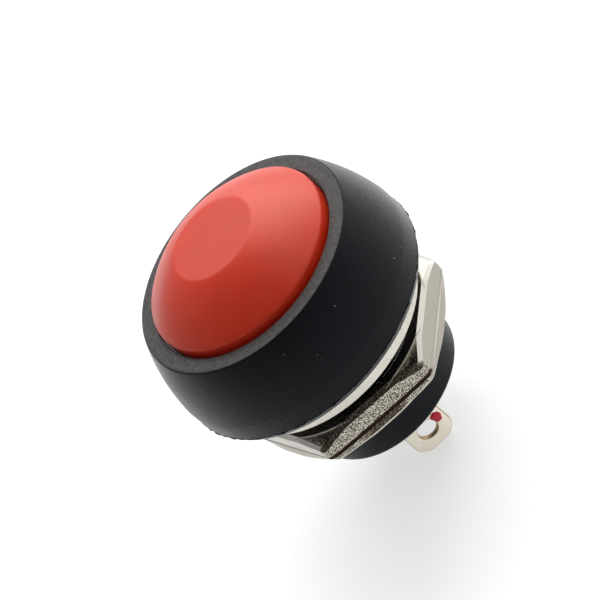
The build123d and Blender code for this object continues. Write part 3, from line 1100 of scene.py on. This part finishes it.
class SWITCH_OT_terminals(bpy.types.Operator):
    """Fold the two plated terminals from flat blanks with an eye, and dab lacquer on one"""

    bl_idname = "switch.terminals"
    bl_label = "Terminals"

    def blank(self, sizes):
        """The flat blank's rim, its eye height and its top, with heights from the tip."""
        half, corner, turn = sizes.width / 2, sizes.corner, sizes.corner_round
        eye = sizes.eye_height - TAB_TIP
        top = 2 * eye + 0.2 * MM
        tip = [(half, corner + turn, 0), (half, corner, turn)]
        tip += [(half - corner, 0, turn), (corner - half, 0, turn)]
        tip += [(-half, corner, turn), (-half, corner + turn, 0)]
        tip += [(-half, top, 0), (half, top, 0)]
        return rounded(tip, 8), eye, top

    def execute(self, context):
        sizes = context.scene.switch_terminals
        bend, steps = sizes.bend, 64
        rim, eye, top = self.blank(sizes)
        straight = TAB_TOP - TAB_TIP - bend

        def folded(point):
            """A blank point carried up the tab, round the bend and along the inner leg."""
            x, along = point
            if along <= straight:
                return (sizes.reach, x, TAB_TIP + along)
            turn = min((along - straight) / bend, math.pi / 2)
            beyond = along - straight - bend * turn
            out = sizes.reach - bend + bend * math.cos(turn) - beyond
            return (out, x, TAB_TIP + straight + bend * math.sin(turn))

        # Faces from the eye to the rim, whose points at the top carry on as rows up the strip
        ring, edge_points = [], []
        for step in range(steps):
            turn = math.tau * (step + 0.5) / steps
            ray = Vector((math.cos(turn), math.sin(turn)))
            ring.append(Vector((0, eye)) + ray * sizes.eye_radius)
            edge_points.append(first_hit(Vector((0, eye)), ray, rim))
        for side in (-0.5, 0.5):
            corner = Vector((sizes.width * side, top))
            nearest = min(range(steps), key=lambda i: (edge_points[i] - corner).length)
            edge_points[nearest] = corner
        across = sorted({round(point.x, 9) for point in edge_points if point.y > top - 1e-7})
        rows = [top + (straight - top) * step / 6 for step in range(7)]
        rows += [straight + bend * math.pi / 2 * step / 8 for step in range(1, 9)]
        rows.append(rows[-1] + sizes.reach - bend - sizes.leg_end)
        flat = [point for pair in zip(ring, edge_points) for point in pair]
        flat += [Vector((x, row)) for row in rows for x in across]
        faces = net(steps, 2, rows_close=True, row_closes=False)
        faces += net(len(rows), len(across), row_closes=False, first=2 * steps)
        for side, name in enumerate(("front", "rear")):
            spin = Matrix.Rotation(TAB_TURN + math.pi * side, 4, "Z")
            shell = [spin @ Vector(folded(point)) for point in flat]
            outward = (spin @ Vector((1, 0, 0, 0))).to_3d()
            made = sheet_piece(f"solder_tab_{name}", shell, faces, sizes.thickness, outward)
            place(made, "housing", "tinned_brass", f"terminal_{name}")
        self.lacquer(sizes)
        return {"FINISHED"}

    def lacquer(self, sizes):
        """A small uneven drop of lacquer on the front terminal."""
        rings, steps = 7, 32
        half_width, half_height, bulge = 0.38 * MM, 0.42 * MM, 0.11 * MM
        outward = Matrix.Rotation(TAB_TURN, 4, "Z")
        vertices = []
        for ring in range(rings + 1):
            share = ring / rings
            for turn in even_angles(steps):
                ray = Vector((math.cos(turn), math.sin(turn), 0))
                wobble = 1 + 0.22 * noise.noise(ray * 1.6 + Vector((3, 1, 0)))
                y = sizes.spot_offset + half_width * wobble * share * ray.x
                z = sizes.spot_height + half_height * wobble * share * ray.y
                off_eye = Vector((y, z - sizes.eye_height))
                if off_eye.length < sizes.eye_radius:
                    y, z = off_eye.normalized() * sizes.eye_radius
                    z += sizes.eye_height
                x = sizes.reach + bulge * math.sqrt(max(0.0, 1 - share**2))
                vertices.append(outward @ Vector((x, y, z)))
        faces = net(rings + 1, steps) + [tuple(range(rings * steps, (rings + 1) * steps))]
        home = ("housing", "red_lacquer", "lacquer_spot")
        piece("lacquer_drop", (vertices, faces), "red lacquer", *home, sharp=60)


def first_hit(start, ray, rim):
    """Where a ray from inside a closed outline meets it."""
    for index, corner in enumerate(rim):
        first, last = Vector(corner), Vector(rim[(index + 1) % len(rim)])
        side, gap = last - first, first - start
        cross = ray.x * side.y - ray.y * side.x
        if abs(cross) < 1e-15:
            continue
        reach = (gap.x * side.y - gap.y * side.x) / cross
        share = (gap.x * ray.y - gap.y * ray.x) / cross
        if reach > 0 and -1e-9 <= share <= 1 + 1e-9:
            return start + ray * reach
    raise ValueError("the outline does not close round the eye")


def sheet_piece(name, shell, faces, thickness, outward):
    """A stamped sheet: its outer skin thickened inward, its edges broken and left unplated."""
    mesh = bpy.data.meshes.new(name)
    mesh.from_pydata(shell, [], faces)
    clean_up(mesh)
    middle = sum((face.center * face.area for face in mesh.polygons), Vector())
    turned_to = sum((face.normal * face.area for face in mesh.polygons), Vector())
    if turned_to.dot(Vector((middle.x, middle.y, 0))) < 0:
        mesh.flip_normals()
    mesh.materials.append(finish("tinned brass"))
    made = add_object(name, mesh)
    wall = made.modifiers.new("Thickness", "SOLIDIFY")
    wall.thickness = thickness
    wall.offset = -1
    broken = made.modifiers.new("Broken edges", "BEVEL")
    broken.width = 0.045 * MM
    broken.segments = 2
    broken.limit_method = "ANGLE"
    broken.angle_limit = math.radians(50)
    apply_modifiers(made)
    smooth(made.data)
    made.data.materials.append(finish("punched brass"))
    for face in made.data.polygons:
        if face.center.z < POTTING_END and abs(face.normal.dot(outward)) < 0.95:
            face.material_index = 1
    return made


class SWITCH_OT_sealing(bpy.types.Operator):
    """Pour the compound that closes the rear end, drawn up round the tabs and the wall"""

    bl_idname = "switch.sealing"
    bl_label = "Sealing compound"

    def execute(self, context):
        sizes = context.scene.switch_terminals
        rings, steps = 30, 144
        half_sheet = sizes.thickness / 2
        direction = Vector((math.cos(TAB_TURN), math.sin(TAB_TURN)))
        sideways = Vector((-direction.y, direction.x))

        def surface_height(x, y):
            """Height of the compound, which climbs at the wall and at both tabs."""
            where = Vector((x, y))
            wall = max(0.0, SOCKET_R - where.length)
            out, side = abs(where.dot(direction)), abs(where.dot(sideways))
            off_sheet = max(0.0, abs(out - sizes.reach + half_sheet) - half_sheet)
            gap = Vector((off_sheet, max(0.0, side - sizes.width / 2))).length
            climb = 0.1 * math.exp(-wall / (0.25 * MM)) + 0.13 * math.exp(-gap / (0.22 * MM))
            uneven = 0.02 * noise.noise(Vector((x, y, 0)) / (1.4 * MM))
            return POTTING_END + (0.13 - climb + uneven) * MM

        vertices = []
        for ring in range(rings + 1):
            radius = SOCKET_R * (1 - (1 - ring / rings) ** 1.25)
            for turn in even_angles(steps):
                x, y = radius * math.cos(turn), radius * math.sin(turn)
                vertices.append((x, y, surface_height(x, y)))
        for turn in even_angles(steps):
            vertices.append((SOCKET_R * math.cos(turn), SOCKET_R * math.sin(turn), POTTING_TOP))
        faces = net(rings + 2, steps)
        faces.append(tuple(range((rings + 1) * steps, (rings + 2) * steps)))
        home = ("housing", "sealing_compound", "potting")
        piece("rear_sealing", (vertices, faces), "sealing compound", *home)
        return {"FINISHED"}


class SWITCH_OT_springs(bpy.types.Operator):
    """Wind the return spring and the contact spring, each fixed to its body"""

    bl_idname = "switch.springs"
    bl_label = "Springs"

    def execute(self, context):
        sizes = context.scene.switch_springs
        jobs = (
            ("return", "housing", "button_press", "low"),
            ("contact", "button", "bridge_float", "high"),
        )
        for kind, body, joint, fixed in jobs:
            solid = f"{kind}_spring"
            low, high = (corner[2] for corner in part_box(solid))
            values = {
                "Radius": getattr(sizes, f"{kind}_radius"),
                "Wire Radius": getattr(sizes, f"{kind}_wire"),
                "Turns": getattr(sizes, f"{kind}_turns"),
                "Bottom": low,
                "Top": high,
                "End Closing": 0.72,
                "Finish": finish("spring wire"),
            }
            coil = grown(f"{kind}_coil", coil_tree(), values)
            place(coil, body, "spring_wire", solid)
            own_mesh(coil)
        return {"FINISHED"}


class SWITCH_OT_inside(bpy.types.Operator):
    """Give the solids that stay as they are inside the switch their finishes"""

    bl_idname = "switch.inside"
    bl_label = "Inner parts"

    def execute(self, context):
        finishes = {
            "contact_base": "base moulding",
            "plunger": "plunger nylon",
            "plunger_seal": "black rubber",
            "spring_seat": "washer nickel",
            "contact_bridge": "bridge brass",
            "moving_contact_front": "contact silver",
            "moving_contact_rear": "contact silver",
            "fixed_contact_front": "contact silver",
            "fixed_contact_rear": "contact silver",
        }
        for solid, name in finishes.items():
            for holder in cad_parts[solid].material_slots:
                holder.material = finish(name)
        return {"FINISHED"}


class SWITCH_OT_stage(bpy.types.Operator):
    """Set the pale floor, the soft lamps, the room and the camera"""

    bl_idname = "switch.stage"
    bl_label = "Stage"

    def execute(self, context):
        sizes = context.scene.switch_stage
        scene = context.scene
        scene.view_settings.view_transform = "Standard"
        self.floor(sizes)
        self.room(sizes)
        self.lamp("key_lamp", (0.46, 0.61, 0.645), 1.1, 1.2, sizes.key)
        self.lamp("wide_lamp", (0.82, 0.15, 0.55), 1.35, 2.5, sizes.wide)
        aim = Vector((0.58, 0.22, 2.39)) * MM
        away = Vector((0, -math.cos(sizes.elevation), math.sin(sizes.elevation)))
        camera = add_object("camera", bpy.data.cameras.new("camera"))
        camera.data.lens = sizes.lens
        camera.data.clip_start = 1 * MM
        tilt = Matrix.Rotation(math.pi / 2 - sizes.elevation, 4, "X")
        roll = Matrix.Rotation(-sizes.roll, 4, "Z")
        camera.matrix_world = Matrix.Translation(aim + away * sizes.distance) @ tilt @ roll
        scene.camera = camera
        return {"FINISHED"}

    def seen_directly(self, tree):
        """A value that is 1 for camera, glossy and transmission rays."""
        path = node(tree, "ShaderNodeLightPath").outputs
        mirrored = maths(tree, "MAXIMUM", path["Is Glossy Ray"], path["Is Transmission Ray"])
        return maths(tree, "MAXIMUM", path["Is Camera Ray"], mirrored)

    def floor(self, sizes):
        """A plain floor that looks white and keeps the shadow."""
        half = sizes.floor_size / 2
        mesh = bpy.data.meshes.new("floor")
        corners = [(-half, -half), (half, -half), (half, half), (-half, half)]
        mesh.from_pydata([(x, y, FLOOR_Z) for x, y in corners], [], [(0, 1, 2, 3)])
        material, tree, shader = surface("floor paper")
        pale = tuple(sizes.floor_colour)
        warm = [part * 0.985 for part in pale]
        sockets = {
            "Base Color": blend_colour(tree, object_noise(tree, 40.0), pale, warm),
            "Roughness": 0.9,
            "Specular IOR Level": 0.1,
            "Emission Strength": times(tree, self.seen_directly(tree), 0.5),
            "Emission Color": (1, 1, 1, 1),
        }
        wire(tree, shader, sockets)
        mesh.materials.append(material)
        made = add_object("floor", mesh)

    def room(self, sizes):
        """The soft light of the room, dim at the front and brighter at the back."""
        world = bpy.data.worlds.new("room")
        world.use_nodes = True
        tree = world.node_tree
        backward = toward(tree, coordinates(tree, "Generated"), (0.35, 0.93, 0.1))
        level = spread(tree, backward, -0.5, 0.7, sizes.room_front, sizes.room_back)
        light = {"Color": (0.97, 0.985, 1.0, 1), "Strength": level}
        wire(tree, tree.nodes["Background"], light)
        bpy.context.scene.world = world

    def lamp(self, name, direction, distance, side, brightness):
        """A square lamp that faces the switch, as bright as a surface of that value."""
        light = bpy.data.lights.new(name, "AREA")
        light.shape = "SQUARE"
        light.size = side
        light.energy = brightness * math.pi * side * side
        away = Vector(direction).normalized()
        facing = away.to_track_quat("Z", "Y").to_matrix().to_4x4()
        add_object(name, light).matrix_world = Matrix.Translation(away * distance) @ facing


class SWITCH_PT_panel(bpy.types.Panel):
    """Sizes, colours and build steps of the switch"""

    bl_idname = "SWITCH_PT_panel"
    bl_label = "Push button switch"
    bl_space_type = "VIEW_3D"
    bl_region_type = "UI"
    bl_category = "Switch"

    def draw(self, context):
        for step in STEPS:
            self.layout.operator(step.bl_idname)
        for name in GROUPS:
            box = self.layout.box()
            box.label(text=name.replace("_", " "))
            group = getattr(context.scene, name)
            for item in group.bl_rna.properties:
                if item.identifier not in ("rna_type", "name"):
                    box.prop(group, item.identifier)


GROUPS = {
    "switch_head": HeadSizes,
    "switch_thread": ThreadSizes,
    "switch_button": ButtonSizes,
    "switch_hardware": HardwareSizes,
    "switch_terminals": TerminalSizes,
    "switch_springs": SpringSizes,
    "switch_finishes": FinishColours,
    "switch_stage": StageSizes,
}
STEPS = (
    SWITCH_OT_head,
    SWITCH_OT_button,
    SWITCH_OT_washer,
    SWITCH_OT_nut,
    SWITCH_OT_terminals,
    SWITCH_OT_sealing,
    SWITCH_OT_springs,
    SWITCH_OT_inside,
    SWITCH_OT_stage,
)


def register():
    for group in (*GROUPS.values(), *STEPS, SWITCH_PT_panel):
        bpy.utils.register_class(group)
    for name, group in GROUPS.items():
        setattr(bpy.types.Scene, name, PointerProperty(type=group))


def unregister():
    for name in GROUPS:
        delattr(bpy.types.Scene, name)
    for group in reversed((*GROUPS.values(), *STEPS, SWITCH_PT_panel)):
        bpy.utils.unregister_class(group)


def main():
    """Register the add-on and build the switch."""
    register()
    for step in STEPS:
        namespace, name = step.bl_idname.split(".")
        getattr(getattr(bpy.ops, namespace), name)()


if __name__ == "__main__":
    main()
